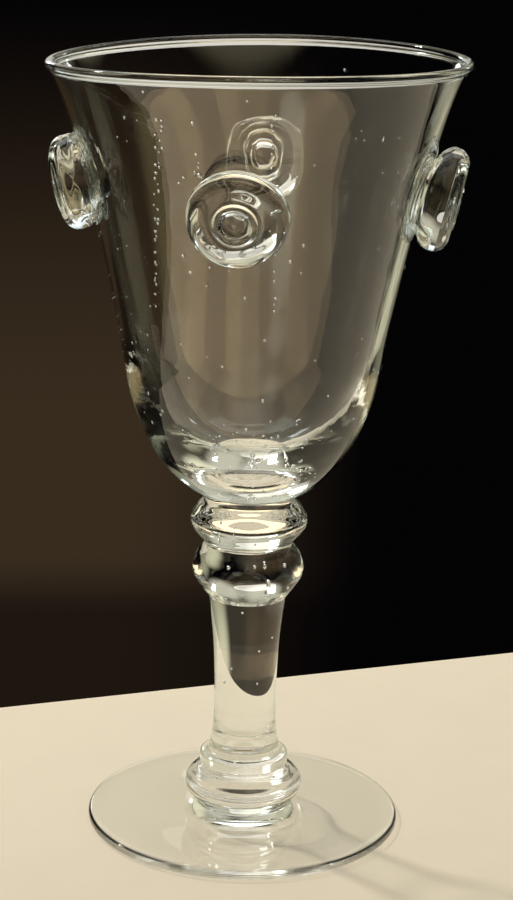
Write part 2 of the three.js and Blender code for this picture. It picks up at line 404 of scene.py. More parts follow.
def make_panel(left, right, brightness):
    """A panel of light that lies on the floor and shines up."""
    width = (right - left) * MM
    power = PANEL_POWER * width * PANEL_LENGTH * brightness
    panel = make_lamp("panel", 0, 90, 0, (width, PANEL_LENGTH), power, PANEL_COLOUR)
    place = Vector(((left + right) / 2 * MM, PANEL_MIDDLE, MM))
    panel.matrix_world = Matrix.Translation(place) @ Matrix.Rotation(math.pi, 4, "X")
    return panel


panels = [make_panel(*panel) for panel in PANELS]
print(len(panels), "panels in front")

# %% [markdown]
# ## Clear glass
# Old clear glass bends light by about 1.5 and is faintly green where it is seen edge on. Its skin was
# fire-polished, so it is nearly mirror smooth, with slight swirls and a few dull smudges. The bowl was
# drawn out as it was blown, which leaves fine upright streaks, called cords, in its wall. A Principled
# shader with full transmission does this, with noise on its roughness and one or two very shallow
# bumps. Lamps find no way through such a shader, so for their rays, and for the floor's, a thin clear
# coat stands in: it lets most light through face on and less edge on, as a glass's shadow has dark
# lines.

# %% Smudges
GLASS_IOR = 1.5
SMUDGE_SCALE = 45
SMUDGE_START = 0.5
SMUDGE_FULL = 0.8


def add_smudges(tree, place, shader, most):
    """Dull patches on the polished skin, up to this roughness."""
    smudges = add_node(tree, "ShaderNodeTexNoise", inputs={
        "Scale": SMUDGE_SCALE, "Detail": 4, "Roughness": 0.6})
    dull = add_node(tree, "ShaderNodeMapRange", inputs={
        "From Min": SMUDGE_START, "From Max": SMUDGE_FULL, "To Max": most})
    tree.links.new(place, smudges.inputs["Vector"])
    tree.links.new(smudges.outputs["Fac"], dull.inputs["Value"])
    tree.links.new(dull.outputs["Result"], shader.inputs["Roughness"])


# %% Swirls and cords
CORD_SCALE = 150
CORD_STRETCH = 0.09


def add_swirls(tree, place, shader, scale, depth):
    """Shallow round swirls in the skin."""
    swirls = add_node(tree, "ShaderNodeTexNoise", inputs={
        "Scale": scale, "Detail": 1.5, "Distortion": 0.6})
    bump = add_node(tree, "ShaderNodeBump", inputs={"Strength": 1, "Distance": depth})
    tree.links.new(place, swirls.inputs["Vector"])
    tree.links.new(swirls.outputs["Fac"], bump.inputs["Height"])
    tree.links.new(bump.outputs["Normal"], shader.inputs["Normal"])
    return bump


def add_cords(tree, place, bump, depth):
    """Fine upright streaks, on which the swirls lie."""
    drawn = add_node(tree, "ShaderNodeMapping", inputs={"Scale": (1, 1, CORD_STRETCH)})
    cords = add_node(tree, "ShaderNodeTexNoise", inputs={
        "Scale": CORD_SCALE, "Detail": 2, "Distortion": 0.3})
    streaks = add_node(tree, "ShaderNodeBump", inputs={"Strength": 1, "Distance": depth})
    tree.links.new(place, drawn.inputs["Vector"])
    tree.links.new(drawn.outputs["Vector"], cords.inputs["Vector"])
    tree.links.new(cords.outputs["Fac"], streaks.inputs["Height"])
    tree.links.new(streaks.outputs["Normal"], bump.inputs["Normal"])


# %% Glass finish
COAT_FACE_ON = (0.985, 0.99, 0.988, 1)
COAT_EDGE_ON = (0.16, 0.18, 0.175, 1)
EDGE_POWER = 3


def make_glass(name, tint, edge_tint, swirl_scale, swirl_depth, smudge, cord_depth=0):
    """A clear glass: its tints face on and edge on, its swirls, its smudges and its cords."""
    finish = bpy.data.materials.new(name)
    finish.use_nodes = True
    tree = finish.node_tree
    shader = tree.nodes["Principled BSDF"]
    shader.inputs["IOR"].default_value = GLASS_IOR
    shader.inputs["Transmission Weight"].default_value = 1
    place = add_node(tree, "ShaderNodeTexCoord").outputs["Object"]
    angle = add_node(tree, "ShaderNodeLayerWeight", inputs={"Blend": 0.5})
    steep = add_node(tree, "ShaderNodeMath", operation="POWER", inputs={1: EDGE_POWER})
    tree.links.new(angle.outputs["Facing"], steep.inputs[0])
    hue = mix(tree, steep.outputs[0], (*tint, 1), (*edge_tint, 1))
    tree.links.new(hue, shader.inputs["Base Color"])
    add_smudges(tree, place, shader, smudge)
    bump = add_swirls(tree, place, shader, swirl_scale, swirl_depth)
    if cord_depth:
        add_cords(tree, place, bump, cord_depth)

    coat = add_node(tree, "ShaderNodeBsdfTransparent")
    shade = mix(tree, steep.outputs[0], COAT_FACE_ON, COAT_EDGE_ON)
    tree.links.new(shade, coat.inputs["Color"])
    path = add_node(tree, "ShaderNodeLightPath")
    for_floor = blend(tree, path.outputs["Is Diffuse Ray"], shader.outputs[0], coat.outputs[0])
    for_lamps = blend(tree, path.outputs["Is Shadow Ray"], for_floor, coat.outputs[0])
    tree.links.new(for_lamps, tree.nodes["Material Output"].inputs["Surface"])
    return finish


# %% Four glasses
EDGE_TINT = (0.62, 0.86, 0.87)
FOOT_EDGE_TINT = (0.94, 0.98, 0.96)
bowl_glass = make_glass("bowl_glass", (0.985, 0.992, 0.988), EDGE_TINT,
                        55, 0.010 * MM, 0.03, cord_depth=0.060 * MM)
stem_glass = make_glass("stem_glass", (0.965, 0.985, 0.975), EDGE_TINT, 90, 0.008 * MM, 0.03)
foot_glass = make_glass("foot_glass", (0.998, 0.998, 0.992), FOOT_EDGE_TINT, 60, 0.010 * MM, 0.04)
prunt_glass = make_glass("prunt_glass", (0.965, 0.985, 0.978), EDGE_TINT, 150, 0.010 * MM, 0.03)
print("glass:", bowl_glass.name, stem_glass.name, foot_glass.name, prunt_glass.name)

# %% [markdown]
# ## Fused joints
# Where two gathers are fused there is no skin between them, and light goes straight on. Two closed
# pieces that touch would each bend it again, so the faces that meet at a joint lie in the same place
# and have a finish of their own, which is perfectly clear. Inside, the goblet is then one glass.

# %% The finish of a joint
def make_joint_finish():
    """A face that light crosses without bending."""
    finish = bpy.data.materials.new("fused_joint")
    finish.use_nodes = True
    tree = finish.node_tree
    tree.nodes.remove(tree.nodes["Principled BSDF"])
    clear = add_node(tree, "ShaderNodeBsdfTransparent", inputs={"Color": (1, 1, 1, 1)})
    tree.links.new(clear.outputs[0], tree.nodes["Material Output"].inputs["Surface"])
    return finish


JOINT_SLOT = 1
joint_finish = make_joint_finish()
print("joint finish:", joint_finish.name)

# %% [markdown]
# ## Turning
# Nearly every piece is round, so it is an outline turned about the axis. An outline is a short list
# of points with a smooth curve through them, or a curve drawn by its handles. The spin operator
# turns it, its doubled points are merged at the seam and the poles, and its faces are set to face out.

# %% Outlines
def point(radius, level):
    """A point of an outline, by its radius and its level."""
    return Vector((radius, 0, level))


def curve(start, start_handle, end_handle, end, steps):
    """A curve between two points, drawn by its two handles."""
    return interpolate_bezier(start, start_handle, end_handle, end, steps + 1)


def through(points, steps):
    """A smooth curve through all the points, without overshoot."""
    run = []
    last = len(points) - 1
    for index in range(last):
        start, end = points[index], points[index + 1]
        reach = (end - start).length / 3
        leaving = (end - points[max(index - 1, 0)]).normalized()
        arriving = (points[min(index + 2, last)] - start).normalized()
        run += curve(start, start + leaving * reach, end - arriving * reach, end, steps)[:-1]
    return run + [points[last]]


QUARTER_HOLD = 0.5523


def quarter(start, corner, end, steps):
    """A round quarter turn inside a corner: handles that reach this far towards it make it round."""
    return curve(start, start.lerp(corner, QUARTER_HOLD), end.lerp(corner, QUARTER_HOLD), end, steps)


# %% Turned shapes
TURN_STEPS = 240
CRISP_ANGLE = math.radians(40)
LEVEL_FACE = 0.999


def turned(outline, steps=TURN_STEPS):
    """A closed shape: an outline that starts and ends on the axis, turned about it."""
    shape = bmesh.new()
    corners = [shape.verts.new(place) for place in outline]
    for one, other in zip(corners, corners[1:]):
        shape.edges.new((one, other))
    bmesh.ops.spin(shape, geom=shape.verts[:] + shape.edges[:], cent=(0, 0, 0), axis=UP,
                   dvec=(0, 0, 0), angle=2 * math.pi, steps=steps, use_merge=True)
    bmesh.ops.remove_doubles(shape, verts=shape.verts, dist=TINY)
    bmesh.ops.recalc_face_normals(shape, faces=shape.faces)
    return shape


def mark_joints(shape, *joint_levels):
    """Gives the flat faces at these levels the joint's finish."""
    for face in shape.faces:
        level = face.calc_center_median().z
        flat = abs(face.normal.z) > LEVEL_FACE
        if flat and any(abs(level - joint) < TINY for joint in joint_levels):
            face.material_index = JOINT_SLOT


def finished(shape, name, glass):
    """The object of a shape, smooth but crisp where it turns sharply or changes its finish."""
    for face in shape.faces:
        face.smooth = True
    for edge in shape.edges:
        one, other = edge.link_faces
        same_finish = one.material_index == other.material_index
        edge.smooth = same_finish and edge.calc_face_angle() < CRISP_ANGLE
    mesh = bpy.data.meshes.new(name)
    shape.to_mesh(mesh)
    shape.free()
    mesh.materials.append(glass)
    mesh.materials.append(joint_finish)
    piece = bpy.data.objects.new(name, mesh)
    bpy.context.scene.collection.objects.link(piece)
    print(f"{name}: {len(mesh.polygons)} faces")
    return piece


# %% [markdown]
# ## The maker's hand
# Glass worked on an iron is never quite round. A shallow swell of a few hundredths of a millimetre is
# enough to make its reflections waver, and it runs up the wall in long streaks, as glass was drawn.
# The bowl's wall swells most. The swell depends only on the place, so two pieces swell alike at their
# joint and stay shut.

# %% A shallow swell
STEM_SWELL = 0.025 * MM
WALL_SWELL = 0.065 * MM
SWELL_LENGTH = 13 * MM
SWELL_STRETCH = 3
SWELL_START = bowl_base + 12 * MM
SWELL_END = bowl_base + 50 * MM


def ease(value, low, high):
    """0 below low, 1 above high, and a soft change between them."""
    share = min(max((value - low) / (high - low), 0), 1)
    return share * share * (3 - 2 * share)


def swell(shape):
    """Moves the points in or out from the axis by a smooth noise."""
    for corner in shape.verts:
        around = Vector((corner.co.x, corner.co.y, 0))
        if around.length < TINY:
            continue
        depth = STEM_SWELL + (WALL_SWELL - STEM_SWELL) * ease(corner.co.z, SWELL_START, SWELL_END)
        spot = corner.co / SWELL_LENGTH
        spot.z /= SWELL_STRETCH
        corner.co += around.normalized() * depth * noise.noise(spot)


# %% [markdown]
# ## A rim that dips
# The rim isn't quite level: it dips most at its left, and a little at its right, as hot glass gives
# way when it is opened. A bent axis could give that, but a lean and a sag of the upper wall, which
# fade out down it, are simpler.

# %% Dip of the rim
RIM_LEAN = 0.85 * MM
RIM_SAG = 1.1 * MM
DIP_START = bowl_base + 62 * MM


def dip_rim(shape):
    """Lowers the bowl's upper wall to the left, and a little at both sides, most at the rim."""
    for corner in shape.verts:
        side = corner.co.x / rim_radius
        lift = RIM_LEAN * side - RIM_SAG * side * side
        corner.co.z += lift * ease(corner.co.z, DIP_START, rim_level)


# %% [markdown]
# ## Foot
# The foot is a disc of glass, spun flat while hot: a soft round edge, a nearly flat top and a small
# hollow rise up to the stem. It is turned from one outline. The long flat stretches get some points
# of their own, so that the roundness of the edge doesn't spread across them.

# %% Foot outline
FOOT_NECK = 11.35 * MM
FOOT_EDGE = 2.0 * MM
FILLET_RADIUS = 16 * MM
FILLET_LEVEL = 2.6 * MM
FILLET_DIP = 0.25 * MM
FILLET_RISE = 0.15 * MM
TOP_HANDLES = (0.8, 0.6)
FLAT_STEPS = 10
EDGE_STEPS = 6
TOP_STEPS = 16
FILLET_STEPS = 12


def foot_outline():
    """From the middle of the foot's underside round its edge and up to its neck."""
    inner = foot_radius - FOOT_EDGE / 2
    middle = foot_base + FOOT_EDGE / 2
    edge_top = foot_base + FOOT_EDGE
    under = [point(inner * step / FLAT_STEPS, foot_base) for step in range(FLAT_STEPS)]
    lower_edge = quarter(point(inner, foot_base), point(foot_radius, foot_base),
                         point(foot_radius, middle), EDGE_STEPS)
    upper_edge = quarter(point(foot_radius, middle), point(foot_radius, edge_top),
                         point(inner, edge_top), EDGE_STEPS)
    fillet_start = point(FILLET_RADIUS, FILLET_LEVEL)
    top = curve(point(inner, edge_top), point(inner * TOP_HANDLES[0], edge_top),
                point(inner * TOP_HANDLES[1], FILLET_LEVEL - FILLET_DIP), fillet_start, TOP_STEPS)
    fillet = quarter(fillet_start, point(FOOT_NECK, FILLET_LEVEL + FILLET_RISE),
                     point(FOOT_NECK, foot_top), FILLET_STEPS)
    return under + lower_edge + upper_edge[1:] + top[1:] + fillet[1:] + [point(0, foot_top)]


# %% Foot shape
FOOT_WAVE = 0.06 * MM


def make_foot():
    """The turned foot, with a slight wave in its top."""
    shape = turned(foot_outline())
    swell(shape)
    for corner in shape.verts:
        if FOOT_EDGE / 2 < corner.co.z < foot_top - TINY:
            corner.co.z += FOOT_WAVE * noise.noise(corner.co / SWELL_LENGTH)
    mark_joints(shape, foot_top)
    return finished(shape, "glass_foot", foot_glass)


foot = make_foot()

# %% [markdown]
# ## Base ring, collar and knops
# Each is a gather squeezed with the jacks into a ring. Its side is a smooth curve through a few
# points, given as shares: how far out from the joints it stands, and how far up. The joints at its
# ends are as wide as the neighbour's, so the crease between two pieces is a clean line.

# %% Rings from shares
RING_STEPS = 14


def ring(name, node, lower_radius, upper_radius, shares):
    """A ring whose side passes through points, each a share of its swelling and of its height."""
    base, top, widest = levels(node)
    side = [point(lower_radius, base)]
    for out_share, up_share in shares:
        joint = lower_radius + (upper_radius - lower_radius) * up_share
        side.append(point(joint + (widest - joint) * out_share, base + (top - base) * up_share))
    side.append(point(upper_radius, top))
    shape = turned([point(0, base)] + through(side, RING_STEPS) + [point(0, top)])
    swell(shape)
    mark_joints(shape, base, top)
    return finished(shape, name, stem_glass)


# %% Rings
COLLAR_SEAT = 10.7 * MM
STEM_FOOT = 9.4 * MM
STEM_HEAD = 9.55 * MM
KNOP_JOINT = 10.7 * MM
BOWL_NECK = 10.65 * MM
BASE_KNOP_SHARES = [(0.35, 0.10), (0.85, 0.28), (1, 0.45), (0.95, 0.60), (0.58, 0.78), (0.20, 0.93)]
LOWER_KNOP_SHARES = [(0.16, 0.07), (0.57, 0.24), (0.91, 0.40), (1, 0.53), (0.88, 0.70), (0.50, 0.86),
                     (0.12, 0.96)]
UPPER_KNOP_SHARES = [(0.16, 0.10), (0.58, 0.24), (0.91, 0.39), (1, 0.50), (0.97, 0.60), (0.78, 0.72),
                     (0.43, 0.87)]
base_knop = ring("glass_base_knop", "base_knop", FOOT_NECK, COLLAR_SEAT, BASE_KNOP_SHARES)
lower_knop = ring("glass_lower_knop", "lower_knop", STEM_HEAD, KNOP_JOINT, LOWER_KNOP_SHARES)
upper_knop = ring("glass_upper_knop", "upper_knop", KNOP_JOINT, BOWL_NECK, UPPER_KNOP_SHARES)

# %% Collar
COLLAR_ROUND = 0.9 * MM
COLLAR_STEPS = (5, 9)


def make_collar():
    """The small upright band between the base ring and the stem."""
    base, top, radius = levels("base_collar")
    lower = quarter(point(COLLAR_SEAT, base), point(radius, base),
                    point(radius, base + COLLAR_ROUND / 2), COLLAR_STEPS[0])
    upper = quarter(point(radius, top - COLLAR_ROUND), point(radius, top - COLLAR_ROUND / 4),
                    point(STEM_FOOT, top), COLLAR_STEPS[1])
    shape = turned([point(0, base)] + lower + upper + [point(0, top)])
    swell(shape)
    mark_joints(shape, base, top)
    return finished(shape, "glass_base_collar", stem_glass)


base_collar = make_collar()

# %% [markdown]
# ## Stem
# The stem was drawn out of a hot gather, so it is thinnest where it was pulled, a third of the way
# up, and widens evenly towards the knop. Two curves with upright handles at the waist give that.

# %% Stem
WAIST_RADIUS = 7.65 * MM
FLARE_LENGTH = 5.6 * MM
FLARE_STEPS = 24
DRAWN_STEPS = 30


def make_stem():
    """The solid stem between the collar and the lower knop."""
    base, top, _ = levels("stem")
    length = top - base
    waist = base + length / 3
    flare = curve(point(STEM_FOOT, base), point(WAIST_RADIUS, base + FLARE_LENGTH / 2),
                  point(WAIST_RADIUS, waist - FLARE_LENGTH / 2), point(WAIST_RADIUS, waist), FLARE_STEPS)
    drawn = curve(point(WAIST_RADIUS, waist), point(WAIST_RADIUS, waist + length / 3),
                  point((WAIST_RADIUS + STEM_HEAD) / 2, top - length / 6), point(STEM_HEAD, top),
                  DRAWN_STEPS)
    shape = turned([point(0, base)] + flare + drawn[1:] + [point(0, top)])
    swell(shape)
    mark_joints(shape, base, top)
    return finished(shape, "glass_stem", stem_glass)


stem = make_stem()

# %% [markdown]
# ## Bowl
# The bowl is one blown bubble, opened and flared: a short neck, a round base with a thick floor, a
# wall that leans out to the rim, and a lip that the fire drew into a bead. It could be a thin sheet
# given a thickness by Solidify, but its floor is far thicker than its wall, and that thick floor is
# what bends the light. So its outside and its inside are drawn as two runs of one outline.

# %% Sizes of the bowl
NECK_HEIGHT = 1.1 * MM
TURN_RADIUS = 31.6 * MM
TURN_LEVEL = bowl_base + 38.7 * MM
WALL = 2.4 * MM
FLOOR_THICKNESS = 8.5 * MM
LIP_RADIUS = 1.0 * MM
LIP_LEAN = math.radians(28)
LIP_NECK = 0.60 * MM
LIP_DROP = 1.9 * MM
LIP_STEPS = 24
LIP_WRAP = 4
BLEND_STEPS = 6
BASE_STEPS = 52
WALL_STEPS = 66
print(f"wall {WALL / MM:.1f} mm thick, floor {FLOOR_THICKNESS / MM:.1f} mm")


# %% Curves of the bowl
def share_curve(start, end, shares, steps):
    """A curve whose handles are shares of the way out and up between its ends."""
    handles = [point(start.x + (end.x - start.x) * out, start.z + (end.z - start.z) * up)
               for out, up in shares]
    return curve(start, *handles, end, steps)


def lip_blend(wall_end, down, second, first):
    """The small hollow between the end of the wall and the first point of the bead."""
    hold = LIP_DROP / 4
    wall_handle = wall_end - down * hold
    bead_handle = first - (second - first).normalized() * hold
    return curve(wall_end, wall_handle, bead_handle, first, BLEND_STEPS)[1:-1]


# %% Bowl outline, with the handles of its curves as shares
BASE_HANDLES = [(0.37, 0.075), (0.85, 0.335)]
FLOOR_HANDLES = [(0.55, 0), (0.87, 0.40)]
WALL_HANDLES = [(0.36, 0.45), (0.71, 0.85)]


def bowl_runs():
    """The bowl's outside from the neck to the lip, its round lip, and its inside down to the floor."""
    centre = point(rim_radius - LIP_RADIUS, rim_level - LIP_RADIUS)
    lean = Vector((math.cos(LIP_LEAN), 0, -math.sin(LIP_LEAN))) * LIP_RADIUS
    turn = point(TURN_RADIUS, TURN_LEVEL)
    neck_top = point(BOWL_NECK, bowl_base + NECK_HEIGHT)
    neck = [point(BOWL_NECK, bowl_base), point(BOWL_NECK, bowl_base + NECK_HEIGHT * 0.6)]
    down = Vector((-math.sin(LIP_LEAN), 0, -math.cos(LIP_LEAN)))
    outer_end = centre + lean.normalized() * LIP_NECK + down * LIP_DROP
    inner_end = centre - lean.normalized() * LIP_NECK + down * LIP_DROP
    base = share_curve(neck_top, turn, BASE_HANDLES, BASE_STEPS)
    wall = share_curve(turn, outer_end, WALL_HANDLES, WALL_STEPS)
    turns = range(-LIP_WRAP, LIP_STEPS + LIP_WRAP + 1)
    bead = [centre + Matrix.Rotation(-math.pi * step / LIP_STEPS, 3, "Y") @ lean for step in turns]
    outer_blend = lip_blend(outer_end, down, bead[1], bead[0])
    inner_blend = lip_blend(inner_end, down, bead[-2], bead[-1])[::-1]
    inner_turn = turn - Vector((WALL, 0, 0))
    inner_wall = share_curve(inner_turn, inner_end, WALL_HANDLES, WALL_STEPS)[::-1]
    floor_middle = point(0, bowl_base + FLOOR_THICKNESS)
    floor_run = share_curve(floor_middle, inner_turn, FLOOR_HANDLES, BASE_STEPS)[::-1]
    return neck + base + wall[1:], outer_blend + bead + inner_blend, inner_wall + floor_run[1:]


# %% Bowl shape
bowl_outside, bowl_lip, bowl_inside = bowl_runs()
bowl_shape = turned([point(0, bowl_base)] + bowl_outside + bowl_lip + bowl_inside)
print("bowl:", len(bowl_shape.faces), "faces before the prunts")
swell(bowl_shape)
dip_rim(bowl_shape)
mark_joints(bowl_shape, bowl_base)

# %% [markdown]
# ## Prunts
# A prunt is a hot drop of glass set on the wall and pressed with a stamp: a thick button with a crevice
# under it, a round rim, a dished face, and a raised ring round a dimple. It is turned like the rest,
# on an axis that stands square on the wall. The bowl is round, so the drop's seat has to bend down to
# it at both sides: the level of the wall is found under each point of the seat's edge by a ray. The
# drop is fused, so it has a shallow root in the wall, and its joint is as clear as the others. No two
# prunts are quite alike: each has its own size, height and ring, and its own waver.

# %% Where the prunts sit
PRUNT_TURNS = {"prunt_front": 0, "prunt_right": 90, "prunt_back": 183, "prunt_left": 270}
PRUNT_HEIGHTS = {"prunt_front": 76.3, "prunt_right": 75.5, "prunt_back": 76.3, "prunt_left": 76.3}
bowl_skin = BVHTree.FromBMesh(bowl_shape)


def on_wall(side, level):
    """The point of the bowl's outside at this level, on the side that this unit vector points to."""
    start = side * 2 * rim_radius + UP * level
    return bowl_skin.ray_cast(start, -side)[0]


def wall_seat(turn, level):
    """A prunt's own axes on the wall: across it, up along it, and square out of it."""
    side = direction(turn, 0)
    reach = 5 * MM
    along = (on_wall(side, level + reach) - on_wall(side, level - reach)).normalized()
    across = UP.cross(side)
    axes = Matrix((across, along, across.cross(along))).transposed()
    return Matrix.Translation(on_wall(side, level)) @ axes.to_4x4()


seats = {}
for name, turn in PRUNT_TURNS.items():
    seats[name] = wall_seat(turn, bowl_base + PRUNT_HEIGHTS[name] * MM)
wall_lean = math.degrees(seats["prunt_front"].col[1].xyz.angle(UP))
print(f"the wall leans {wall_lean:.1f} degrees at the front prunt")

# %% Prunt outline in mm, as radius from its axis and height from the wall
SEAT_RADIUS = 8.7
SEAT_TOP = 0.5
ROOT_DEPTH = 1.5
PRUNT_STEPS = 112
SIDE_STEPS = 4
BELLY = [(9.3, 0.45), (10.2, 1.0), (10.9, 2.1), (11.2, 3.8)]
SHOULDER = [(11.0, 5.2), (10.25, 6.35), (9.2, 6.95), (8.0, 7.05)]
FACE = [(6.9, 6.95), (5.9, 6.85), (5.25, 6.9)]
RING = [(4.95, 7.2), (4.7, 7.95), (4.2, 8.4), (3.7, 8.2)]
RING_RISE_SHARES = (0.3, 0.8, 1, 1)
DIMPLE = [(3.3, 7.6), (2.9, 7.0), (2.2, 6.65), (1.1, 6.5), (0, 6.45)]


def prunt_blank(face_drop, ring_rise):
    """A straight prunt on its own axis, from its root to the dimple in its face."""
    face = [(radius, height - face_drop) for radius, height in FACE]
    raised = [(radius, height + ring_rise * share)
              for (radius, height), share in zip(RING, RING_RISE_SHARES)]
    stamped = [(SEAT_RADIUS, 0), *BELLY, *SHOULDER, *face, *raised, *DIMPLE]
    root = [point(0, -ROOT_DEPTH), point(SEAT_RADIUS, -ROOT_DEPTH)]
    outline = root + through([point(*pair) for pair in stamped], SIDE_STEPS)
    shape = turned([place * MM for place in outline], PRUNT_STEPS)
    for side in shape.faces:
        if side.calc_center_median().z < -TINY:
            side.material_index = JOINT_SLOT
    return shape


# %% A prunt's uneven seat and rim: waves by height, number round the prunt, and share of their start
SEAT_WAVES = [(0.05, 2, 1), (0.03, 3, 2), (0.012, 7, 3)]
RIM_WAVES = [(0.014, 2, 2), (0.008, 3, 1)]


def waves(kinds, angle, start):
    """How far out the edge is at this angle, where 1 is round."""
    reach = 1
    for height, number, share in kinds:
        reach += height * math.sin(number * angle + share * start)
    return reach


# %% Bending a prunt onto the wall
SEAT_BLEND = 3.8
RAY_LIFT = 6 * MM


def wall_drop(seat, radius, angle):
    """How far the wall lies under the flat seat, at this radius and angle."""
    above = seat @ Vector((radius * math.cos(angle), radius * math.sin(angle), RAY_LIFT))
    return RAY_LIFT - bowl_skin.ray_cast(above, -seat.col[2].xyz)[3]


def bend_to_wall(shape, name, look, all_seat=False):
    """Spreads the seat unevenly, lowers its edge to the wall, and moves the shape to its seat."""
    seat, start, size = seats[name], look["start"], look["size"]
    drops = {}
    for corner in shape.verts:
        corner.co *= size
        radius = corner.co.xy.length
        if radius < TINY:
            continue
        angle = math.atan2(corner.co.y, corner.co.x)
        seat_wave = waves(SEAT_WAVES, angle, start)
        rim_wave = waves(RIM_WAVES, angle, start) - look["square"] * math.cos(4 * angle)
        key = round(angle * PRUNT_STEPS / (2 * math.pi))
        if key not in drops:
            drops[key] = wall_drop(seat, SEAT_RADIUS * MM * size * seat_wave, angle)
        height = corner.co.z
        seat_share = 1 if all_seat else 1 - ease(height, SEAT_TOP * MM, SEAT_BLEND * MM)
        corner.co.xy *= seat_wave * seat_share + rim_wave * (1 - seat_share)
        if height > -TINY:
            corner.co.z += drops[key] * seat_share
    bmesh.ops.transform(shape, matrix=seat, verts=shape.verts)


# %% The stamp's mark: how wide it is in full, where it ends, and where its hole becomes its ring
STAMP_FULL = 5.5 * MM
STAMP_END = 9.5 * MM
HOLE_EDGE = 3 * MM
RING_EDGE = 4.6 * MM


def shift_stamp(shape, shift, stretch, hole):
    """Stretches the stamped ring and its hole, and moves them as a hand-held stamp lands."""
    for corner in shape.verts:
        if corner.co.z > BELLY[-1][1] * MM:
            radius = corner.co.xy.length
            share = 1 - ease(radius, STAMP_FULL, STAMP_END)
            outer = ease(radius, HOLE_EDGE, RING_EDGE)
            corner.co.x *= 1 + (hole[0] + (stretch[0] - hole[0]) * outer - 1) * share
            corner.co.y *= 1 + (hole[1] + (stretch[1] - hole[1]) * outer - 1) * share
            corner.co.xy += Vector(shift) * share * MM


# %% Prunts: size, how far the face is sunk and the ring raised, the stamp's place, and the waver
PRUNT_LOOKS = {
    "prunt_front": {"size": 1, "face_drop": 0, "ring_rise": 0, "shift": (-0.1, 0),
                    "stretch": (1, 1), "hole": (1, 1), "square": 0, "start": 0.9},
    "prunt_right": {"size": 1.09, "face_drop": 2.4, "ring_rise": -1.4, "shift": (0.3, -1.2),
                    "stretch": (1, 1.3), "hole": (1, 1.4), "square": 0, "start": 2.7},
    "prunt_back": {"size": 0.96, "face_drop": 0, "ring_rise": 1.2, "shift": (0.2, 1.1),
                   "stretch": (1.1, 1.4), "hole": (0.9, 0.95), "square": 0.05, "start": 4.1},
    "prunt_left": {"size": 1, "face_drop": 1.8, "ring_rise": -0.4, "shift": (0.2, -0.3),
                   "stretch": (1, 1.2), "hole": (1, 1.3), "square": 0.01, "start": 5.3},
}


def make_prunt(name, look):
    """A stamped prunt on its seat."""
    shape = prunt_blank(look["face_drop"], look["ring_rise"])
    shift_stamp(shape, look["shift"], look["stretch"], look["hole"])
    bend_to_wall(shape, name, look)
    return finished(shape, "glass_" + name, prunt_glass)


prunts = {name: make_prunt(name, look) for name, look in PRUNT_LOOKS.items()}

# %% [markdown]
# ## Rooting the prunts in the wall
# The bowl's wall needs a pocket for each root, exactly as wide and as deep. A Boolean modifier cuts
# it with a column that has the seat's own outline. Its faces have the joint's finish, so the pocket
# does too, and light runs from the wall into the prunt as in one glass.

# %% Pockets
POCKET_TOP = 5


def make_pocket_tool(name, look):
    """A column with the outline of a prunt's seat, from the bottom of its root to above the wall."""
    outline = [point(0, -ROOT_DEPTH), point(SEAT_RADIUS, -ROOT_DEPTH),
               point(SEAT_RADIUS, POCKET_TOP), point(0, POCKET_TOP)]
    shape = turned([place * MM for place in outline], PRUNT_STEPS)
    for face in shape.faces:
        face.material_index = JOINT_SLOT
    bend_to_wall(shape, name, look, all_seat=True)
    return finished(shape, "pocket_" + name, bowl_glass)


def cut_pockets(shape):
    """The bowl's shape with the four pockets cut out of its wall."""
    blank = finished(shape, "bowl_blank", bowl_glass)
    tools = [make_pocket_tool(name, look) for name, look in PRUNT_LOOKS.items()]
    for tool in tools:
        cut = blank.modifiers.new("pocket", "BOOLEAN")
        cut.operation = "DIFFERENCE"
        cut.solver = "EXACT"
        cut.object = tool
    bpy.context.view_layer.update()
    cut_blank = blank.evaluated_get(bpy.context.evaluated_depsgraph_get())
    cut_mesh = bpy.data.meshes.new_from_object(cut_blank)
    cut_shape = bmesh.new()
    cut_shape.from_mesh(cut_mesh)
    for spare in [blank, *tools]:
        bpy.data.objects.remove(spare)
    bpy.data.meshes.remove(cut_mesh)
    return cut_shape


cut_shape = cut_pockets(bowl_shape)
open_edges = sum(len(edge.link_faces) != 2 for edge in cut_shape.edges)
print("bowl with pockets:", len(cut_shape.faces), "faces,", open_edges, "open edges")
bowl = finished(cut_shape, "glass_bowl", bowl_glass)

# %% [markdown]
# ## Seeds
# Small bubbles, called seeds, stay in hand-gathered glass: two fine rows of them run up the wall, some
# lie loose in it, and many sit in the thick floor and the knops. Each is a tiny ball of air inside the
# glass. The seeds of the bowl are one piece and those of the stem another. They are placed by a
# seeded random draw, so that they lie in the same spots each time.

# %% The finish of a seed
def make_air_finish():
    """Air seen from inside the glass, which bends light the other way."""
    finish = bpy.data.materials.new("seed_air")
    finish.use_nodes = True
    shader = finish.node_tree.nodes["Principled BSDF"]
    shader.inputs["IOR"].default_value = 1 / GLASS_IOR
    shader.inputs["Transmission Weight"].default_value = 1
    shader.inputs["Roughness"].default_value = 0.3
    return finish


air_finish = make_air_finish()
print("seed finish:", air_finish.name)

# %% Balls of air
SEED_DRAW = 7
LEAST_SEED = 0.17
MOST_SEED = 0.38
LONGEST_SEED = 1.7


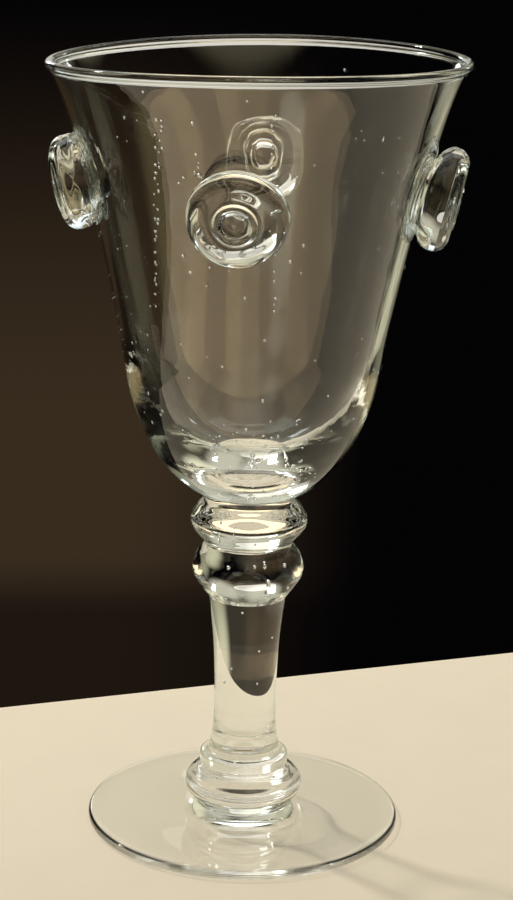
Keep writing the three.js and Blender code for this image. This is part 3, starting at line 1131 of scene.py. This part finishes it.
def make_seeds(name, places):
    """One mesh of small balls at these places, each a little longer than it is wide."""
    draw = random.Random(SEED_DRAW)
    balls = bmesh.new()
    for place in places:
        size = draw.uniform(LEAST_SEED, MOST_SEED) * MM
        stretch = Matrix.Diagonal((size, size, size * draw.uniform(1, LONGEST_SEED), 1))
        seat = Matrix.Translation(place) @ stretch
        bmesh.ops.create_icosphere(balls, subdivisions=2, radius=1, matrix=seat)
    for face in balls.faces:
        face.smooth = True
    mesh = bpy.data.meshes.new(name)
    balls.to_mesh(mesh)
    balls.free()
    mesh.materials.append(air_finish)
    piece = bpy.data.objects.new(name, mesh)
    bpy.context.scene.collection.objects.link(piece)
    print(f"{name}: {len(places)} seeds")
    return piece


# %% Places for seeds
SEED_INSET = WALL / 2 - 0.1 * MM


def in_wall(turn, height):
    """A point inside the bowl's wall, at this angle and this height in mm above the bowl's base."""
    side = direction(turn, 0)
    return on_wall(side, bowl_base + height * MM) - side * SEED_INSET


def in_round(angle, radius, level):
    """A point at this angle and radius from the axis."""
    return Vector((radius * math.cos(angle), radius * math.sin(angle), level))


# %% Seeds in the bowl: rows by angle and lean, single ones by angle and height, and a cloud
SEED_ROWS = [(-22.5, -0.30), (-24.5, -0.26), (9, 0.1)]
ROW_TOP = 96
ROW_END = 52
ROW_GAPS = (0.8, 4.5)
ROW_WAVER = 0.4
NEAR_PRUNT = [(-12.9, 88.9), (-12.3, 87.1), (-12.5, 86.0), (-12.5, 84.2), (-11.8, 83.8), (-17.7, 83.4),
              (-13.1, 95.8), (-20.6, 65.1), (-10.7, 63.1)]
LOW_FRONT = [(14.2, 26.6), (27, 25.5), (18.6, 22.7), (12.7, 20.6), (15, 18.7), (-9.8, 22.5), (-7.5, 25.4),
             (-12.7, 20.2), (-13, 17.3), (-15.3, 18.5), (32.7, 19.2), (33.8, 21.3), (3, 24.5), (-1.7, 21.5)]
LOOSE_SEEDS = 70
LOOSE_HEIGHTS = (20, 100)
FLOOR_SEEDS = 46
CLOUD_RADIUS = 15 * MM
CLOUD_LEVELS = (4.6, 7.6)


def bowl_seed_places():
    """Rows up the wall, a loose scatter, and a cloud in the thick floor."""
    draw = random.Random(SEED_DRAW)
    places = []
    for start, lean in SEED_ROWS:
        height = ROW_TOP
        while height > ROW_END:
            turn = start + lean * (ROW_TOP - height) + draw.uniform(-ROW_WAVER, ROW_WAVER)
            places.append(in_wall(turn, height))
            height -= draw.uniform(*ROW_GAPS)
    places += [in_wall(*spot) for spot in NEAR_PRUNT]
    for _ in range(LOOSE_SEEDS):
        places.append(in_wall(draw.uniform(-180, 180), draw.uniform(*LOOSE_HEIGHTS)))
    for _ in range(FLOOR_SEEDS):
        angle = draw.uniform(0, 2 * math.pi)
        radius = CLOUD_RADIUS * math.sqrt(draw.random())
        places.append(in_round(angle, radius, bowl_base + draw.uniform(*CLOUD_LEVELS) * MM))
    places += [in_wall(*spot) for spot in LOW_FRONT]
    return places


bowl_seeds = make_seeds("bowl_seeds", bowl_seed_places())

# %% Seeds in the knops and the stem, with their number and how far out they lie in mm
STEM_SEEDS = [("lower_knop", 12, 9), ("upper_knop", 4, 9), ("stem", 7, 6), ("base_knop", 5, 9)]
SEED_DEPTH = 2 * MM


def stem_seed_places():
    """A few in each knop and down the stem, well inside the glass."""
    draw = random.Random(SEED_DRAW)
    places = []
    for node, count, reach in STEM_SEEDS:
        base, top, _ = levels(node)
        for _ in range(count):
            angle = draw.uniform(0, 2 * math.pi)
            radius = draw.uniform(3, reach) * MM
            places.append(in_round(angle, radius, draw.uniform(base + SEED_DEPTH, top - SEED_DEPTH)))
    return places


stem_seeds = make_seeds("stem_seeds", stem_seed_places())

# %% [markdown]
# ## Hand over
# Each piece rides on the goblet's one body, and the node of the imported model that it stands for is
# hidden. The seeds ride too, but stand for no node, as the imported model has none.

# %% Ride and replace
PIECES = {
    "foot": (foot, "foot_glass"),
    "base_knop": (base_knop, "stem_glass"),
    "base_collar": (base_collar, "stem_glass"),
    "stem": (stem, "stem_glass"),
    "lower_knop": (lower_knop, "stem_glass"),
    "upper_knop": (upper_knop, "stem_glass"),
    "bowl": (bowl, "bowl_glass"),
}
PIECES.update({name: (prunt, "prunt_glass") for name, prunt in prunts.items()})
for node, (piece, slot) in PIECES.items():
    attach(piece, "root")
    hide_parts(node)
for seeds, slot in ((bowl_seeds, "bowl_glass"), (stem_seeds, "stem_glass")):
    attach(seeds, "root")
